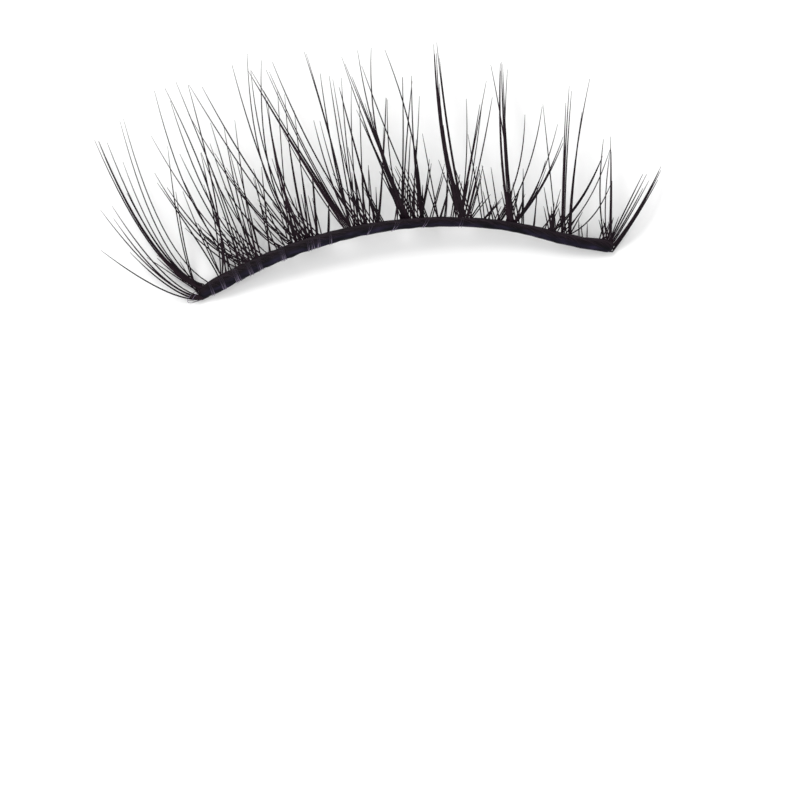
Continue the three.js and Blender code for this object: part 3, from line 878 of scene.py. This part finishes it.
# Locks that start on the very ends of the band. Columns: down (from 0 at the lash edge to 1 at the
# glue edge), then lean, reach, bow, hairs and fan as above.
OUTER_END_LOCKS = [
    (0.70, -38, 0.637, -0.080, 1, 0.0),
    (0.80, -41.5, 0.595, -0.090, 2, 0.0),
    (0.85, -42.7, 0.675, -0.082, 1, 0.0),
    (0.90, -51, 0.43, -0.088, 1, 0.0),
    (0.95, -55.5, 0.31, -0.088, 1, 0.0),
    (1.00, -58, 0.57, -0.076, 1, 0.0),
    (0.10, -50, 0.30, 0.000, 1, 0.0),
    (0.80, -36, 0.26, 0.020, 1, 0.0),
    (0.95, -24, 0.22, 0.000, 1, 0.0),
]
INNER_END_LOCKS = [
    (0.10, 37.5, 0.455, 0.028, 3, 0.0),
    (0.60, 38, 0.41, 0.022, 1, 0.0),
    (0.90, 38.5, 0.43, 0.018, 1, 0.0),
]
# Nets of short hairs that cross over the roots, each of evenly set hairs. Columns: first and last
# place, hairs, then lean, reach and bow as above.
ROOT_NETS = {
    "tuft_01_outer_corner": [(-0.004, 0.014, 4, -48, 0.22, -0.05)],
    "tuft_02_outer_fan": [(0.090, 0.170, 9, -43, 0.25, -0.03), (0.065, 0.165, 8, -9, 0.18, 0.0)],
    "tuft_03_second_fan": [(0.205, 0.310, 11, -36, 0.25, -0.03), (0.225, 0.312, 10, -8, 0.20, 0.0)],
    "tuft_04_long_spike": [(0.390, 0.438, 7, -26, 0.26, 0.0), (0.386, 0.436, 7, 1, 0.24, 0.0)],
    "tuft_05_single": [(0.445, 0.456, 2, -22, 0.15, 0.0)],
    "tuft_06_middle_spike": [(0.500, 0.560, 8, -20, 0.23, 0.0), (0.485, 0.555, 9, 6, 0.15, 0.0)],
    "tuft_08_tall_spike": [(0.630, 0.668, 6, -14, 0.24, 0.0), (0.610, 0.655, 7, 18, 0.22, 0.0)],
    "tuft_09_crossed": [(0.700, 0.738, 3, -10, 0.12, 0.0), (0.692, 0.735, 3, 30, 0.10, 0.0)],
    "tuft_10_inner_spike": [(0.745, 0.778, 5, -6, 0.15, 0.0), (0.740, 0.770, 5, 24, 0.14, 0.0)],
    "tuft_11_inner_fork": [(0.835, 0.862, 2, -4, 0.10, 0.0), (0.830, 0.862, 3, 34, 0.10, 0.0)],
    "tuft_12_inner_pair": [(0.872, 0.902, 3, -2, 0.10, 0.0), (0.862, 0.900, 4, 36, 0.11, 0.0)],
    "tuft_13_inner_corner": [(0.970, 1.000, 4, -10, 0.09, 0.0), (0.962, 0.992, 5, 26, 0.10, 0.0)],
}
NET_PLACES = (0.3, 0.7)  # where in its share of the net a hair may stand
NET_LEAN = 4  # degrees that its lean may differ
NET_REACHES = (0.7, 1.3)  # of the net's reach


def curl_height(plan):
    """Height of the curled lashes over a point in plan, from the band's back."""
    arm = plan - arc_centre
    angle = math.atan2(arm.x, arm.y)
    at = min(1.0, max(0.0, (angle / half_angle + 1) / 2))
    outside = (plan - plan_point(at, band_height(at))).length
    if arm.length < arc_radius - band_sag(at) + band_height(at):
        outside = 0.0
    share = min(1.0, outside / (LONGEST_LASH * read_table(CURL_SECTIONS, at)))
    curl = CURL_RISE * (END_CURL + (1 - END_CURL) * (1 - (2 * at - 1) ** 2))
    return band_lift(at) * (1 - share) + 4 * curl * share * (1 - share)


# The rows are read off the view from straight above, as if all the hairs lay at LASH_LEVEL.
VIEW_CENTRE = Vector((-1.65 * MM, -9.38 * MM))  # from the middle of the band's chord
VIEW_WIDTH = 60.6 * MM
VIEW_LENS = 200.0
VIEW_SENSOR = 36.0
LASH_LEVEL = 1.5 * MM  # height at which the view is VIEW_WIDTH wide

view_distance = VIEW_WIDTH * VIEW_LENS / VIEW_SENSOR
view_middle = Vector((arc_centre.x, arc_centre.y + arc_radius - BAND_RISE)) + VIEW_CENTRE


def sighted(plan, height):
    """Point at a height over the table that is seen where the plan point at LASH_LEVEL would be."""
    nearer = (height - LASH_LEVEL) / view_distance
    seen = view_middle + (plan - view_middle) * (1 - nearer)
    return Vector((seen.x, seen.y, table_z + height))


def lock_line(at, down, lock, layer_height):
    """A line for the strands of a lock that starts at a place along and down the band."""
    lean, reach, bow, hairs, fan = lock
    root = plan_point(at, band_height(at) * (1 - down))
    inner_at = min(max(at, ROOT_MARGIN), 1 - ROOT_MARGIN)
    inside = plan_point(inner_at, (band_height(at) - ROOT_DEPTH) * (1 - down))
    angle = math.radians(lean)
    ahead = Vector((math.sin(angle), math.cos(angle)))
    aside = Vector((math.cos(angle), -math.sin(angle)))
    length = reach * LONGEST_LASH
    turn = read_table(CURL_SECTIONS, at, 2)
    corner = root + ahead * length * turn + aside * 2 * bow * length
    tip = root + ahead * length
    points = [inside]
    for step in range(HAIR_STEPS):
        s = step / (HAIR_STEPS - 1)
        points.append(root * (1 - s) ** 2 + corner * 2 * s * (1 - s) + tip * s**2)
    placed = [sighted(p, curl_height(p) + layer_height) for p in points]
    return placed, aside, hairs, fan * HAIR_SPACING


def make_hair_material():
    """Black hair with a purplish brown cast: each hair is a little lighter or darker."""
    material, tree, shader = new_material("black_lash_hair", (0.01, 0.006, 0.008), 0.45, 0.1)
    coords = add_node(tree, "ShaderNodeTexCoord").outputs["Object"]
    noise_node = add_node(tree, "ShaderNodeTexNoise", Vector=coords, Scale=HAIR_GRAIN, Detail=2.0)
    grain = noise_node.outputs["Fac"]
    shade = map_range(tree, grain, 0.3, 0.7, 0.0, HAIR_SHADING)
    colour = colour_mix(tree, shade, strand_colour(tree, HAIR_DARK, HAIR_LIGHT), HAIR_SHADE)
    tree.links.new(colour, shader.inputs["Base Color"])
    tree.links.new(map_range(tree, grain, 0.3, 0.7, *HAIR_ROUGHNESS), shader.inputs["Roughness"])
    return material


hair_material = make_hair_material()
for number, (tuft_name, locks) in enumerate(TUFTS.items()):
    draws = random.Random(100 + number)
    layer_height = FIRST_LAYER + ((number + 1) % LAYERS) * HAIR_LAYER
    lines = [lock_line(at, 0.0, lock, layer_height) for at, *lock in locks]
    if number == 0:
        lines += [lock_line(band_start, down, lock, layer_height) for down, *lock in OUTER_END_LOCKS]
    if number == len(TUFTS) - 1:
        lines += [lock_line(band_end, down, lock, layer_height) for down, *lock in INNER_END_LOCKS]
    for first, last, count, lean, reach, bow in ROOT_NETS.get(tuft_name, []):
        for index in range(count):
            at = first + (last - first) * (index + draws.uniform(*NET_PLACES)) / count
            net_lean = lean + draws.uniform(-NET_LEAN, NET_LEAN)
            lock = (net_lean, reach * draws.uniform(*NET_REACHES), bow, 1, 0.0)
            lines.append(lock_line(at, 0.0, lock, layer_height))
    values = {
        "Spacing": HAIR_SPACING,
        "Root Diameter": HAIR_ROOT,
        "Tip Diameter": HAIR_TIP,
        "Taper": HAIR_TAPER,
        "Shortest": SHORTEST_HAIR,
        "Waver": HAIR_WAVER,
        "Bulge": HAIR_BULGE,
        "Seed": 40 + number,
        "Material": hair_material,
    }
    hair = sweep_strands(tuft_name + "_hair", lines, values)
    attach(hair, "root")
    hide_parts(tuft_name)

# The table: a plain white sheet under soft studio light from the upper left of the view.
# The camera looks straight down, turned a little so that the outer end lies lower.
TABLE_SIZE = 1.2
TABLE_WHITE = (0.92, 0.92, 0.92)
TABLE_ROUGHNESS = 0.7

half = TABLE_SIZE / 2
corners = [(x * half, y * half, table_z) for x, y in ((-1, -1), (1, -1), (1, 1), (-1, 1))]
table_material = new_material("white_table", TABLE_WHITE, TABLE_ROUGHNESS, 0.2)[0]
table = mesh_piece("table", corners, [(0, 1, 2, 3)], table_material, smooth=False)

VIEW_TURN = math.radians(6.3)
camera_data = bpy.data.cameras.new("camera")
camera_data.lens = VIEW_LENS
camera_data.sensor_width = VIEW_SENSOR
camera_data.clip_start = 0.001
camera = bpy.data.objects.new("camera", camera_data)
camera.location = (view_middle.x, view_middle.y, table_z + LASH_LEVEL + view_distance)
camera.rotation_euler = (0, 0, -VIEW_TURN)
bpy.context.scene.collection.objects.link(camera)
bpy.context.scene.camera = camera

KEY_DISTANCE = 0.5
KEY_ELEVATION = math.radians(45)
KEY_BEARING = math.radians(128) - VIEW_TURN
KEY_SIZE = 0.2
KEY_POWER = 1.25
key_data = bpy.data.lights.new("key", "AREA")
key_data.shape = "DISK"
key_data.size = KEY_SIZE
key_data.energy = KEY_POWER
key = bpy.data.objects.new("key", key_data)
toward = Vector(
    (
        math.cos(KEY_BEARING) * math.cos(KEY_ELEVATION),
        math.sin(KEY_BEARING) * math.cos(KEY_ELEVATION),
        math.sin(KEY_ELEVATION),
    )
)
key.location = toward * KEY_DISTANCE
key.rotation_euler = toward.to_track_quat("Z", "Y").to_euler()
bpy.context.scene.collection.objects.link(key)

SKY_STRENGTH = 1.0
world = bpy.data.worlds.new("studio")
world.use_nodes = True
world.node_tree.nodes["Background"].inputs["Color"].default_value = (1, 1, 1, 1)
world.node_tree.nodes["Background"].inputs["Strength"].default_value = SKY_STRENGTH
bpy.context.scene.world = world
bpy.context.scene.view_settings.view_transform = "Standard"
